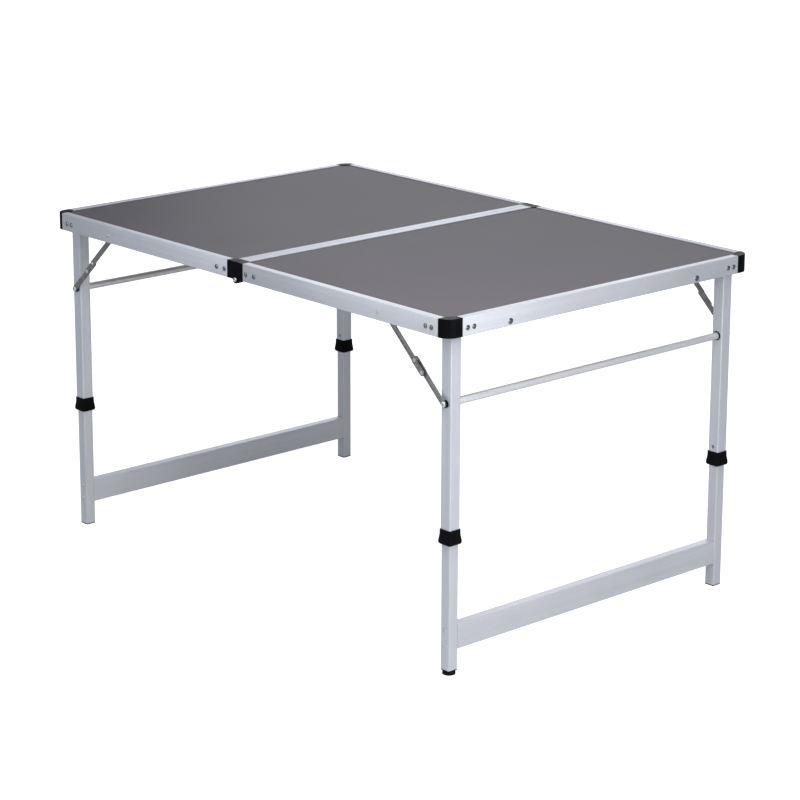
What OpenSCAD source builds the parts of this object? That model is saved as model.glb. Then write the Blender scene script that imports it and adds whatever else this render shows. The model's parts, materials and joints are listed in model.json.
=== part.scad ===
// Folding table: two framed panels hinged at the middle, on two folding leg frames
// with telescopic legs and jointed braces. X is the length, Y the width, Z is up.

/* [Table] */
// Length of the open tabletop
table_l = 1200; // [1100:10:1500]
// Width of the tabletop
table_w = 800; // [600:10:1000]
// Height of the tabletop over the floor, legs extended
table_h = 680; // [640:5:820]

/* [Rails] */
// Height of the frame rails
rail_h = 35; // [34:0.5:45]
// Wall of the rails
rail_t = 1.6; // [1.2:0.1:2.2]
// Width of the bright lip that frames the panel
lip_w = 15.5; // [12:0.5:22]
// Thickness of the lip
lip_t = 1.4; // [1:0.1:2]
// Width of the ledge under the panel
ledge_w = 8; // [5:0.5:12]
// Thickness of the ledge
ledge_t = 1.2; // [1:0.1:1.6]
// Width of the turned-in bottom edge of a rail
return_w = 6; // [3:0.5:7]
// Thickness of the panel
panel_t = 4; // [3:0.5:5]
// Gap between the two halves at the middle
seam = 1; // [0.6:0.1:2]

/* [Corners and hinges] */
// Radius of the outer corners
corner_r = 25; // [14:1:25]
// Length of the long rails' side that a corner cap covers
cap_l = 26; // [26:0.5:36]
// Length of the end rails' side that a corner cap covers
cap_end_l = 36; // [34:0.5:45]
// Length of the corner tongues inside the rails
tongue_l = 38; // [38:1:60]
// Length of each hinge leaf
leaf_l = 24; // [20:0.5:30]
// Length of the tongue of a hinge leaf inside its rail
leaf_tongue_l = 44; // [42:1:60]
// Radius of the hinge knuckles
knuckle_r = 7.5; // [6:0.25:9]
// Radius of the centre-hinge pins
hinge_pin_r = 2.5; // [2:0.25:3]
// How far the hinge axis lies under the rails
hinge_drop = 0.5; // [0.3:0.1:2]

/* [Legs] */
// Distance from the end of the table to the middle of a leg
leg_inset_x = 33; // [31:0.5:45]
// Distance from the side of the table to the middle of a leg
leg_inset_y = 40; // [40:0.5:60]
// Outer size of the upper tubes
upper_w = 25; // [24:0.5:27]
// Outer size of the lower tubes
lower_w = 22; // [18:0.5:22]
// Wall of the leg tubes
tube_t = 1.2; // [1:0.1:1.6]
// Height of the collars' lower edge over the floor
collar_z = 252; // [245:1:330]
// Height of the collars
collar_h = 28; // [20:1:34]
// How much wider the collars are than the upper tubes at their widest
flare = 7.5; // [4:0.5:9]
// How far the lower legs slide up
slide_travel = 140; // [100:5:140]
// Radius of the leg pivot pins
leg_pin_r = 4; // [3:0.25:4.5]
// Radius of the round cross bars
bar_r = 7; // [6:0.25:8]
// Height of the stretchers
stretcher_h = 48; // [40:1:60]
// Height of the middle of the stretchers over the floor
stretcher_z = 72; // [60:1:90]
// Radius of the snap buttons
button_r = 3.5; // [2.5:0.25:4]

/* [Braces] */
// Distance along the rail from the leg pivot to the brace pivot
brace_p = 154; // [146:1:170]
// Distance down the leg from the leg pivot to the brace pivot
brace_q = 143; // [130:1:145]
// Width of the brace links
link_w = 12; // [10:0.5:13]
// Thickness of the brace links
link_t = 2; // [1.5:0.1:2.5]

/* [Feet] */
// Thickness of the foot plugs under the tubes
plug_t = 2.4; // [2:0.2:4]
// Height of the levelling foot under its plug
foot_h = 7.5; // [5:0.5:10]
// Radius of the levelling foot
foot_r = 12.5; // [9:0.5:13]

/* [Hidden] */
HALF = ["panel", "front_rail", "rear_rail", "end_rail", "centre_rail", "corner_caps",
    "hinge_leaves", "support_strips", "rail_rivets", "leg_brackets", "leg_pins",
    "brace_rail_pivots", "front_upper_tube", "rear_upper_tube", "cross_bar", "bar_bushes",
    "collars", "front_lower_tube", "rear_lower_tube", "stretcher", "stretcher_plugs",
    "stretcher_screws", "guide_plugs", "foot_plugs", "front_snap_clip", "rear_snap_clip",
    "brace_uppers", "brace_rivets", "brace_lowers"];
$fn = 48;

// Running clearance of a pin in its bore, and the gap between sliding faces
run = 0.05;
gap = 0.2;
// Half sizes, and the heights of the rail
hl = table_l / 2;
hw = table_w / 2;
rail_z = table_h - rail_h;
panel_z = table_h - lip_t - panel_t;
// The panel's seen field stands this far over its gripped edge
proud = 0.02;
// Tongues that join the rails: height range, reach in from the outer face
tongue_z = rail_z + rail_t + gap;
tongue_top = panel_z - ledge_t - gap;
tongue_in = rail_t + 5;
// Support strips: flat bars under the panel, with their rivets lower than the rest
strip_t = 3;
strip_w = 25;
strip_y = 247;
tab_t = 1.5;
// Centre-hinge axis
hinge_z = rail_z - hinge_drop;
// Two knuckles share the depth of the block along Y
knuckle_y = 9;
block_y = 2 * knuckle_y + 2;
// Leg axis and leg pivot
leg_x = hl - leg_inset_x;
leg_y = hw - leg_inset_y;
pivot_z = rail_z + 15;
bar_z = pivot_z - brace_q;
upper_r = 2;
lower_r = 1.5;
// The lower tube always has room to slide inside the upper one
low_w = min(lower_w, upper_w - 2 * tube_t - 0.4);
spigot_r = 4;
guide_t = 4;
// The lower tube reaches well past the collar, and clears the bar when slid up
lower_top = min(collar_z + collar_h + 55,
    bar_z - spigot_r - guide_t - slide_travel - 5);
button_z = collar_z + collar_h + 10;
// Bracket round the top of a leg
cheek_t = 2;
cheek_gap = 0.5;
cheek_in = leg_y - upper_w / 2 - cheek_gap;
cheek_out = leg_y + upper_w / 2 + cheek_gap;
web_x = leg_x + sqrt(2) * upper_w / 2 + 2.3;
bracket_top = pivot_z + upper_w / 2 + 0.5;
// Brace planes, outside the leg: lower link, then upper link
lower_in = leg_y + upper_w / 2 + 4.8;
lower_out = lower_in + link_t;
link_gap = 2.6;
upper_in = lower_out + link_gap;
upper_out = upper_in + link_t;
brace_x = leg_x - brace_p;
brace_len = norm([brace_p, brace_q]);
brace_angle = atan2(brace_q, brace_p);
upper_link_l = (brace_len + brace_p - brace_q) / 2;
lower_link_l = (brace_len - brace_p + brace_q) / 2;
tail_l = 28;
tail_step = 1.25;
rivet_r = 2.4;
head_r = 4;
rail_head_r = 5;
strip_head_r = 6;
head_t = 1.3;
brace_pin_r = 2.5;
// Rivet places, from the ends of each half
rivet_z = rail_z + 15;
strip_rivet_z = rivet_z - 6;
cap_rivets = [43, 58.5];
// The end rail's rivets sit this much further from the corner
end_shift = 5;
leaf_rivets = [33, 57];
screw_gap = 29;
screw_r = 3;

steel = [0.72, 0.73, 0.75];
alu = [0.8, 0.81, 0.84];
black = [0.07, 0.07, 0.08];

// ---- helpers ----------------------------------------------------------------

// The half on the +X side as drawn, or its mirror image
module half(side) {
    if (side > 0) children();
    else mirror([1, 0, 0]) children();
}

// The front copy as drawn, and its mirror image at the rear
module both_ends() {
    children();
    mirror([0, 1, 0]) children();
}

// Cylinder along Y from y0 to y1 at x, z
module y_rod(x, z, r, y0, y1) {
    translate([x, y0, z]) rotate([-90, 0, 0]) cylinder(r = r, h = y1 - y0);
}

// Cylinder along X from x0 to x1 at y, z
module x_rod(y, z, r, x0, x1) {
    translate([x0, y, z]) rotate([0, 90, 0]) cylinder(r = r, h = x1 - x0);
}

// Square of side w with corners of radius r, in exact arcs
module round_square(w, r) {
    square([w - 2 * r, w], center = true);
    square([w, w - 2 * r], center = true);
    for (sx = [-1, 1], sy = [-1, 1])
        translate([sx * (w / 2 - r), sy * (w / 2 - r)]) circle(r = r);
}

// Square tube along Z round the origin
module square_tube(w, r, z0, z1) {
    translate([0, 0, z0]) linear_extrude(z1 - z0) difference() {
        round_square(w, r);
        round_square(w - 2 * tube_t, max(r - tube_t, 0.3));
    }
}

// Box given by two corners
module span(a, b) {
    translate(a) cube(b - a);
}

// Section of a rail, in a plane with u inwards from the outer face and v up
module rail_section() {
    translate([0, rail_z]) square([rail_t, rail_h]);
    translate([0, table_h - lip_t]) square([lip_w, lip_t]);
    translate([0, panel_z - ledge_t]) square([ledge_w, ledge_t]);
    translate([0, rail_z]) square([return_w, rail_t]);
}

// Rail along X with its outer face at y = -hw
module x_rail(x0, x1) {
    translate([x0, -hw, 0]) rotate([90, 0, 90]) linear_extrude(x1 - x0) rail_section();
}

// Rail along Y with its outer face at x, facing +X
module y_rail(x, y0, y1) {
    translate([x, y1, 0]) rotate([90, 0, 0]) linear_extrude(y1 - y0)
        mirror([1, 0]) rail_section();
}

// ---- tabletop ---------------------------------------------------------------

// Laminate panel; its corners are cut where the caps and leaves pass
module panel() {
    x0 = seam / 2 + rail_t + gap;
    x1 = hl - rail_t - gap;
    y1 = hw - rail_t - gap;
    cut = cap_l - rail_t + 1;
    end_cut = cap_end_l - rail_t + 1;
    color([0.46, 0.44, 0.46]) {
        translate([0, 0, panel_z + proud]) linear_extrude(panel_t - 2 * proud) polygon([
            [x0 + leaf_l, -y1], [x1 - cut, -y1], [x1, -y1 + end_cut],
            [x1, y1 - end_cut], [x1 - cut, y1], [x0 + leaf_l, y1],
            [x0, y1 - leaf_l], [x0, -y1 + leaf_l]]);
        translate([0, 0, panel_z + proud]) linear_extrude(panel_t - proud) panel_field();
    }
}

// The part of the panel that shows between the lips, caps and leaves
module panel_field() {
    m = lip_w + 0.3;
    x0 = seam / 2 + m;
    x1 = hl - m;
    y1 = hw - m;
    cut = cap_l - lip_w + 0.5;
    end_cut = cap_end_l - lip_w + 0.5;
    leaf_x = leaf_l - lip_w + 0.5;
    leaf_y = block_y + 3 - lip_w + 0.5;
    polygon([[x0 + leaf_x, -y1], [x1 - cut, -y1], [x1, -y1 + end_cut],
        [x1, y1 - end_cut], [x1 - cut, y1], [x0 + leaf_x, y1],
        [x0, y1 - leaf_y], [x0, -y1 + leaf_y]]);
}

// Long rail, drilled for its rivets
module front_rail() {
    color(alu) difference() {
        x_rail(leaf_l, hl - cap_l);
        for (x = [leaf_rivets[0], leaf_rivets[1], hl - cap_rivets[0], hl - cap_rivets[1]])
            y_rod(x, rivet_z, rivet_r, -hw - 1, -hw + rail_t + 1);
        y_rod(brace_x, pivot_z, brace_pin_r, -hw - 1, -hw + rail_t + 1);
    }
}

module rear_rail() {
    mirror([0, 1, 0]) front_rail();
}

module end_rail() {
    y = hw - cap_end_l;
    color(alu) difference() {
        y_rail(hl, -y, y);
        for (s = [-1, 1]) {
            for (d = cap_rivets)
                x_rod(s * (hw - d - end_shift), rivet_z, rivet_r, hl - rail_t - 1, hl + 1);
            x_rod(s * strip_y, strip_rivet_z, rivet_r, hl - rail_t - 1, hl + 1);
        }
    }
}

// Rail at the middle of the table, its face towards the seam
module centre_rail() {
    y = hw - block_y - 3;
    color(alu) translate([seam / 2, 0, 0]) mirror([1, 0, 0])
        difference() {
            y_rail(0, -y, y);
            for (s = [-1, 1]) x_rod(s * strip_y, strip_rivet_z, rivet_r, -rail_t - 1, 1);
        }
}

// Plan of the corner cap: a rounded corner with a diagonal inner edge
module cap_plan() {
    intersection() {
        union() {
            translate([hl - cap_l, -hw]) square([cap_l - corner_r, cap_end_l]);
            translate([hl - cap_l, -hw + corner_r]) square([cap_l, cap_end_l - corner_r]);
            translate([hl - corner_r, -hw + corner_r]) circle(r = corner_r, $fn = 96);
        }
        polygon([[hl - cap_l, -hw - 1], [hl + 1, -hw - 1], [hl + 1, -hw + cap_end_l],
            [hl - lip_w, -hw + cap_end_l], [hl - cap_l, -hw + lip_w]]);
    }
}

// Corner cap: top flange, curved wall, bottom flange, and a tongue into each rail
module corner_cap() {
    wall = 2.4;
    base = rail_z + 2;
    color(black) difference() {
        union() {
            translate([0, 0, table_h - lip_t]) linear_extrude(lip_t) cap_plan();
            difference() {
                translate([0, 0, rail_z]) linear_extrude(rail_h - lip_t) cap_plan();
                translate([hl - corner_r, -hw + corner_r, base])
                    cylinder(r = corner_r - wall, h = rail_h, $fn = 96);
                span([hl - cap_l - 1, -hw + tongue_in + 1, base],
                    [hl - corner_r, -hw + cap_end_l + 1, table_h]);
                span([hl - corner_r - 1, -hw + corner_r, base],
                    [hl - tongue_in - 1, -hw + cap_end_l + 1, table_h]);
                span([hl - cap_l - 1, -hw + rail_t, panel_z - gap],
                    [hl - rail_t, -hw + cap_end_l + 1, table_h]);
                // open towards the leg, so that only a rim is left underneath
                translate([0, 0, rail_z - 1]) linear_extrude(4) polygon([
                    [hl - cap_l - 1, -hw + cap_end_l + 1],
                    [hl - cap_l - 1, -hw + tongue_in + 2],
                    [hl - tongue_in - 2, -hw + cap_end_l + 1]]);
            }
            span([hl - cap_l - tongue_l, -hw + rail_t + gap, tongue_z],
                [hl - cap_l + 1, -hw + tongue_in, tongue_top]);
            span([web_x + cheek_t, -hw + cap_end_l - 1, tongue_z],
                [hl - rail_t - gap, -hw + cap_end_l + tongue_l - 4, tongue_top]);
        }
        for (d = cap_rivets) {
            y_rod(hl - d, rivet_z, rivet_r, -hw - 1, -hw + tongue_in + 1);
            x_rod(-hw + d + end_shift, rivet_z, rivet_r, web_x, hl + 1);
        }
    }
}

module corner_caps() {
    both_ends() corner_cap();
}

// Plan of the leaf beside the panel's edge, where the panel does not reach
module leaf_rim(depth) {
    difference() {
        leaf_plan(depth);
        polygon([[rail_t, -hw + depth + 1], [rail_t + 0.1, -hw + lip_w + 6.5],
            [lip_w + 6.5, -hw + rail_t], [leaf_l + 1, -hw + rail_t],
            [leaf_l + 1, -hw + depth + 1]]);
    }
}

// Plan of a hinge leaf: a block with a diagonal inner edge
module leaf_plan(depth) {
    polygon([[seam / 2, -hw], [leaf_l, -hw], [leaf_l, -hw + lip_w],
        [lip_w, -hw + depth], [seam / 2, -hw + depth]]);
}

// Hinge leaf; the outer leaf has its knuckle at the side of the table, the other behind it
module hinge_leaf(outer) {
    depth = block_y + 3;
    y0 = outer ? -hw : -hw + knuckle_y + gap;
    y1 = y0 + knuckle_y;
    color(black) difference() {
        union() {
            difference() {
                union() {
                    translate([0, 0, rail_z]) linear_extrude(panel_z - gap - rail_z)
                        leaf_plan(depth);
                    translate([0, 0, rail_z]) linear_extrude(rail_h) leaf_rim(depth);
                    translate([0, 0, table_h - lip_t]) linear_extrude(lip_t) leaf_plan(depth);
                }
                // room for the other leaf's knuckle
                y_rod(0, hinge_z, knuckle_r + 0.3, outer ? y1 : -hw - 1,
                    outer ? -hw + depth + 1 : y0);
            }
            y_rod(0, hinge_z, knuckle_r, y0, y1);
            if (outer) translate([0, y1, 0]) rotate([90, 0, 0]) linear_extrude(knuckle_y)
                polygon([[0, hinge_z - knuckle_r], [knuckle_r / 2, hinge_z - knuckle_r],
                    [leaf_l, rail_z], [leaf_l, rail_z + 1], [0, rail_z + 1]]);
            span([leaf_l - 1, -hw + rail_t + gap, tongue_z],
                [leaf_l + leaf_tongue_l, -hw + tongue_in, tongue_top]);
        }
        y_rod(0, hinge_z, hinge_pin_r + run, -hw - 1, -hw + depth + 1);
        for (x = leaf_rivets) y_rod(x, rivet_z, rivet_r, -hw - 1, -hw + tongue_in + 1);
    }
}

module hinge_leaves(side) {
    both_ends() hinge_leaf(side > 0);
}

// Flat bars under the panel, notched under the ledges, with a tab down each rail
module support_strips() {
    x0 = seam / 2 + rail_t;
    x1 = hl - rail_t;
    top = panel_z;
    low = top - strip_t;
    color(alu) for (s = [-1, 1]) translate([0, s * strip_y - strip_w / 2, 0]) difference() {
        union() {
            span([x0 + ledge_w + gap, 0, low], [x1 - ledge_w - gap, strip_w, top]);
            span([x0 + gap, 0, low], [x1 - gap, strip_w, top - ledge_t - gap]);
            for (x = [x0 + gap, x1 - gap - tab_t])
                span([x, 0, strip_rivet_z - 4], [x + tab_t, strip_w, top - ledge_t - gap]);
        }
        x_rod(strip_w / 2, strip_rivet_z, rivet_r, x0 - 1, x0 + 3);
        x_rod(strip_w / 2, strip_rivet_z, rivet_r, x1 - 3, x1 + 1);
    }
}

// Blind rivet: domed head outside, shank of length l, axis along +Z from the face
module rivet(l, r = head_r) {
    shank = rivet_r - 0.03;
    // centre of a sphere whose cap is as wide as the head and as tall as head_t
    dome = (r * r - head_t * head_t) / (2 * head_t);
    intersection() {
        translate([0, 0, -head_t]) cylinder(r = r, h = head_t);
        translate([0, 0, dome]) sphere(r = dome + head_t, $fn = 64);
    }
    cylinder(r = shank, h = l);
}

module rail_rivets() {
    color(steel) {
        both_ends() {
            for (x = [hl - cap_rivets[0], hl - cap_rivets[1], leaf_rivets[0], leaf_rivets[1]])
                translate([x, -hw, rivet_z]) rotate([-90, 0, 0]) rivet(tongue_in, rail_head_r);
            for (d = cap_rivets)
                translate([hl, -hw + d + end_shift, rivet_z]) rotate([0, -90, 0])
                    rivet(hl - web_x, rail_head_r);
            translate([hl, -strip_y, strip_rivet_z]) rotate([0, -90, 0])
                rivet(rail_t + gap + tab_t + 0.8, strip_head_r);
        }
    }
}

// Steel bracket with two cheeks round the top of a leg
module leg_brackets() {
    z0 = rail_z + rail_t + 1;
    x0 = leg_x - 13;
    color(steel) both_ends() difference() {
        union() {
            span([x0, -cheek_out - cheek_t, z0], [web_x + cheek_t, -cheek_out, bracket_top]);
            span([x0, -cheek_in, z0], [web_x + cheek_t, -cheek_in + cheek_t, bracket_top]);
            span([web_x, -cheek_out - 1, z0], [web_x + cheek_t, -cheek_in + 9, bracket_top]);
        }
        y_rod(leg_x, pivot_z, leg_pin_r, -cheek_out - cheek_t - 1, -cheek_in + cheek_t + 1);
        for (d = cap_rivets)
            x_rod(-hw + d + end_shift, rivet_z, rivet_r, web_x - 1, web_x + cheek_t + 1);
    }
}

module leg_pins() {
    y0 = -cheek_out - cheek_t;
    y1 = -cheek_in + cheek_t;
    color(steel) both_ends() {
        y_rod(leg_x, pivot_z, leg_pin_r - run, y0 - 1, y1 + 1);
        y_rod(leg_x, pivot_z, leg_pin_r + 2, y0 - 1.6, y0);
        y_rod(leg_x, pivot_z, leg_pin_r + 2, y1, y1 + 1.6);
    }
}

// Shouldered rivet through the long rail that carries the upper link
module brace_rail_pivots() {
    inner = -hw + rail_t;
    color(steel) both_ends() {
        translate([brace_x, -hw, pivot_z]) rotate([-90, 0, 0]) rivet(rail_t);
        y_rod(brace_x, pivot_z, brace_pin_r - run, -hw, -upper_in + 0.1);
        y_rod(brace_x, pivot_z, 5, inner, -upper_out - 0.1);
        y_rod(brace_x, pivot_z, 4.5, -upper_in + 0.1, -upper_in + 1.3);
    }
}

// ---- leg frames -------------------------------------------------------------

// Upper tube with a round top, bored for its pivot, the bar and the snap button
module front_upper_tube() {
    bore = upper_w / 2 + 1;
    color(alu) translate([leg_x, -leg_y, 0]) difference() {
        intersection() {
            square_tube(upper_w, upper_r, collar_z + 3, pivot_z + upper_w / 2);
            union() {
                span([-upper_w, -upper_w, 0], [upper_w, upper_w, pivot_z]);
                y_rod(0, pivot_z, upper_w / 2, -upper_w, upper_w);
            }
        }
        y_rod(0, pivot_z, leg_pin_r + run, -bore, bore);
        y_rod(0, bar_z, spigot_r, -bore, bore);
        y_rod(0, button_z, button_r + 0.2, 0, bore);
    }
}

module rear_upper_tube() {
    mirror([0, 1, 0]) front_upper_tube();
}

// Tubular bar between the legs; its turned-down ends pass through and carry the lower links
module cross_bar() {
    inner = leg_y - upper_w / 2;
    outer = lower_out + 0.1;
    head = 1.4;
    color(alu) difference() {
        union() {
            y_rod(leg_x, bar_z, bar_r, -inner + 1.5, inner - 1.5);
            y_rod(leg_x, bar_z, spigot_r - run, -outer, outer);
            for (s = [-1, 1]) translate([leg_x, s * outer, bar_z]) rotate([-90 * s, 0, 0])
                cylinder(r1 = spigot_r + 1.5, r2 = spigot_r + 0.5, h = head);
        }
        y_rod(leg_x, bar_z, bar_r - tube_t, -inner + 10, inner - 10);
        y_rod(leg_x, bar_z, spigot_r - 1.6, -outer - head - 1, outer + head + 1);
    }
}

// Black bushes on the bar: a flanged washer inside each leg, a spacer outside
module bar_bushes() {
    inner = leg_y - upper_w / 2;
    outer = leg_y + upper_w / 2;
    color(black) both_ends() {
        difference() {
            y_rod(leg_x, bar_z, bar_r + 2, -inner, -inner + 1.5);
            y_rod(leg_x, bar_z, spigot_r, -inner - 1, -inner + 3);
        }
        difference() {
            y_rod(leg_x, bar_z, spigot_r + 3, -lower_in + 0.1, -outer);
            y_rod(leg_x, bar_z, spigot_r, -lower_in - 1, -outer + 1);
        }
    }
}

// Thin slice of a collar, z over its foot
module collar_ring(z, t, w) {
    translate([0, 0, collar_z + z]) linear_extrude(t) round_square(w, 3, $fn = 32);
}

// Collar that flares towards its lower edge, closing round the lower tube
module collars() {
    color(black) both_ends() translate([leg_x, -leg_y, 0]) difference() {
        union() {
            hull() {
                collar_ring(collar_h - 1, 1, upper_w + flare / 2);
                collar_ring(4, 1, upper_w + flare);
            }
            hull() {
                collar_ring(4, 1, upper_w + flare);
                collar_ring(0, 0.5, upper_w + flare - 3);
            }
        }
        span([-upper_w / 2 - 0.02, -upper_w / 2 - 0.02, collar_z + 3],
            [upper_w / 2 + 0.02, upper_w / 2 + 0.02, collar_z + collar_h + 1]);
        span([-low_w / 2 - gap, -low_w / 2 - gap, collar_z - 1],
            [low_w / 2 + gap, low_w / 2 + gap, collar_z + 4]);
    }
}

// Lower tube; z0 is the height of its lower end
module lower_tube(z0) {
    color(alu) translate([leg_x, -leg_y, 0]) difference() {
        square_tube(low_w, lower_r, z0, lower_top);
        y_rod(0, button_z, button_r + 0.2, 0, low_w);
        for (dz = [-0.5, 0.5]) y_rod(0, stretcher_z + dz * screw_gap, screw_r, -low_w, low_w);
    }
}

module front_lower_tube(side) {
    lower_tube(side > 0 ? foot_h + plug_t : plug_t);
}

module rear_lower_tube() {
    mirror([0, 1, 0]) lower_tube(plug_t);
}

// Flat box tube between the lower tubes
module stretcher() {
    inner = leg_y - low_w / 2;
    color(alu) translate([leg_x, inner, stretcher_z]) rotate([90, 0, 0])
        linear_extrude(2 * inner) difference() {
            stretcher_plan(low_w - 0.6, stretcher_h, 2);
            stretcher_plan(low_w - 0.6 - 2 * tube_t, stretcher_h - 2 * tube_t, 0.8);
        }
}

// Section of the stretcher, and of its plugs
module stretcher_plan(w, h, r) {
    square([w - 2 * r, h], center = true);
    square([w, h - 2 * r], center = true);
    for (sx = [-1, 1], sy = [-1, 1])
        translate([sx * (w / 2 - r), sy * (h / 2 - r)]) circle(r = r);
}

// Plugs in the ends of the stretcher that take the screws
module stretcher_plugs() {
    inner = leg_y - low_w / 2;
    w = low_w - 0.6 - 2 * tube_t - 2 * gap;
    h = stretcher_h - 2 * tube_t - 2 * gap;
    plug_l = 32;
    color(black) both_ends() difference() {
        translate([leg_x, -inner + gap + plug_l, stretcher_z]) rotate([90, 0, 0])
            linear_extrude(plug_l) stretcher_plan(w, h, 1);
        for (dz = [-0.5, 0.5])
            y_rod(leg_x, stretcher_z + dz * screw_gap, screw_r, -inner - 1, -inner + 26);
    }
}

// Pan-head screws through each lower tube into the plugs
module stretcher_screws() {
    outer = leg_y + low_w / 2;
    inner = leg_y - low_w / 2;
    color(steel) both_ends() for (dz = [-0.5, 0.5]) {
        z = stretcher_z + dz * screw_gap;
        y_rod(leg_x, z, screw_r - run, -outer - 0.5, -inner + 25);
        translate([leg_x, -outer, z]) rotate([90, 0, 0]) difference() {
            cylinder(r1 = screw_r + 2, r2 = screw_r + 1.2, h = 1.6);
            for (a = [0, 90]) rotate(a) translate([-2, -0.4, 0.9]) cube([4, 0.8, 2]);
        }
    }
}

// Plugs that guide the lower tubes inside the upper ones
module guide_plugs() {
    w = upper_w - 2 * tube_t - 2 * gap;
    s = low_w - 2 * tube_t - 2 * gap;
    color(black) both_ends() translate([leg_x, -leg_y, 0]) {
        translate([0, 0, lower_top]) linear_extrude(guide_t) round_square(w, 1);
        translate([0, 0, lower_top - 12]) linear_extrude(12.5) round_square(s, 0.5);
    }
}

// Foot plug: square flange under the tube and a spigot inside it
module foot_plug(z0, threaded) {
    s = low_w - 2 * tube_t - 2 * gap;
    color(black) translate([leg_x, -leg_y, 0]) difference() {
        union() {
            translate([0, 0, z0]) linear_extrude(plug_t) round_square(low_w, lower_r);
            translate([0, 0, z0 + plug_t - 0.5]) linear_extrude(18) round_square(s, 0.5);
        }
        if (threaded) translate([0, 0, z0 - 1]) cylinder(r = 4 + run, h = 17);
    }
}

module foot_plugs(side) {
    foot_plug(side > 0 ? foot_h : 0, side > 0);
    mirror([0, 1, 0]) foot_plug(0, false);
}

// Round levelling foot on a threaded stem
module levelling_foot() {
    color(black) translate([leg_x, -leg_y, 0]) rotate_extrude()
        polygon([[0, 0], [foot_r - 1.5, 0], [foot_r, 1.5], [foot_r, foot_h - 2],
            [foot_r - 1, foot_h - gap], [4, foot_h - gap], [4, foot_h + 14], [0, foot_h + 14]]);
}

// Leaf spring bent to a U, with the button on one arm
module front_snap_clip() {
    arm = low_w / 2 - tube_t - 0.15;
    leaf = 0.8;
    tip = upper_w / 2 - 0.1;
    bend_z = button_z - 32;
    color(steel) translate([leg_x, -leg_y, 0]) {
        for (y = [-arm, arm - leaf]) span([-4, y, bend_z], [4, y + leaf, button_z + 6]);
        difference() {
            x_rod(0, bend_z, arm, -4, 4);
            x_rod(0, bend_z, arm - leaf, -5, 5);
            span([-5, -arm - 1, bend_z], [5, arm + 1, bend_z + arm + 1]);
        }
        y_rod(0, button_z, button_r, arm - leaf, tip - 0.6);
        translate([0, tip - 0.6, button_z]) rotate([-90, 0, 0])
            cylinder(r1 = button_r, r2 = button_r - 0.6, h = 0.6);
    }
}

module rear_snap_clip() {
    mirror([0, 1, 0]) front_snap_clip();
}

// ---- braces -----------------------------------------------------------------

// Flat strip with round ends from the origin along +X, drawn in a plane and extruded
module strip(l, w) {
    translate([0, -w / 2]) square([l, w]);
    circle(r = w / 2);
    translate([l, 0]) circle(r = w / 2);
}

// Sets a plan (u along the closed brace, v square to it) in the brace's plane at y
module in_brace(y, t) {
    translate([brace_x, y, pivot_z]) rotate([0, brace_angle, 0]) rotate([90, 0, 0])
        translate([0, 0, -t]) linear_extrude(t) children();
}

// Upper link, from the rail pivot past the elbow, its tail stepped to the lower side
module brace_uppers() {
    color(steel) both_ends() in_brace(-upper_out, link_t) difference() {
        union() {
            strip(upper_link_l, link_w);
            translate([upper_link_l, -tail_step]) strip(tail_l, link_w);
        }
        circle(r = brace_pin_r);
        translate([upper_link_l, 0]) circle(r = rivet_r);
        translate([upper_link_l + tail_l, -tail_step]) circle(r = rivet_r);
    }
}

// Elbow rivet with its washer, and the stop rivet in the tail
module brace_rivets() {
    shank = rivet_r - 0.03;
    color(steel) both_ends() translate([brace_x, -upper_out, pivot_z])
        rotate([0, brace_angle, 0]) {
            translate([upper_link_l, 0, 0]) rotate([-90, 0, 0]) {
                rivet(link_t + link_gap - 0.2);
                translate([0, 0, link_t]) cylinder(r = 5, h = link_gap - 0.2);
            }
            translate([upper_link_l + tail_l, 0, -tail_step]) rotate([-90, 0, 0])
                rivet(link_t);
        }
}

// Lower link, from the elbow to the bar, its head stepped to the upper side
module brace_lowers() {
    color(steel) both_ends() in_brace(-lower_out, link_t) difference() {
        union() {
            translate([upper_link_l, 0]) strip(lower_link_l, link_w);
            translate([upper_link_l, tail_step]) strip(tail_l, link_w);
        }
        translate([brace_len, 0]) circle(r = spigot_r);
    }
}

// ---- shared -----------------------------------------------------------------

// Tubular pins of the centre hinges, with a rolled head outside
module hinge_pins() {
    color(steel) both_ends() difference() {
        union() {
            y_rod(0, hinge_z, hinge_pin_r, -hw, -hw + block_y + 2);
            y_rod(0, hinge_z, hinge_pin_r + 2, -hw - 1.2, -hw);
        }
        y_rod(0, hinge_z, hinge_pin_r - 0.8, -hw - 2, -hw + block_y + 3);
    }
}

// One sub-part of the half on the given side
module sub(n, side) {
    half(side) {
        if (n == "panel") panel();
        if (n == "front_rail") front_rail();
        if (n == "rear_rail") rear_rail();
        if (n == "end_rail") end_rail();
        if (n == "centre_rail") centre_rail();
        if (n == "corner_caps") corner_caps();
        if (n == "hinge_leaves") hinge_leaves(side);
        if (n == "support_strips") support_strips();
        if (n == "rail_rivets") rail_rivets();
        if (n == "leg_brackets") leg_brackets();
        if (n == "leg_pins") leg_pins();
        if (n == "brace_rail_pivots") brace_rail_pivots();
        if (n == "front_upper_tube") front_upper_tube();
        if (n == "rear_upper_tube") rear_upper_tube();
        if (n == "cross_bar") cross_bar();
        if (n == "bar_bushes") bar_bushes();
        if (n == "collars") collars();
        if (n == "front_lower_tube") front_lower_tube(side);
        if (n == "rear_lower_tube") rear_lower_tube();
        if (n == "stretcher") stretcher();
        if (n == "stretcher_plugs") stretcher_plugs();
        if (n == "stretcher_screws") stretcher_screws();
        if (n == "guide_plugs") guide_plugs();
        if (n == "foot_plugs") foot_plugs(side);
        if (n == "front_snap_clip") front_snap_clip();
        if (n == "rear_snap_clip") rear_snap_clip();
        if (n == "brace_uppers") brace_uppers();
        if (n == "brace_rivets") brace_rivets();
        if (n == "brace_lowers") brace_lowers();
    }
}

for (n = HALF) {
    sub(n, 1);
    sub(n, -1);
}
levelling_foot();
hinge_pins();
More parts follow.
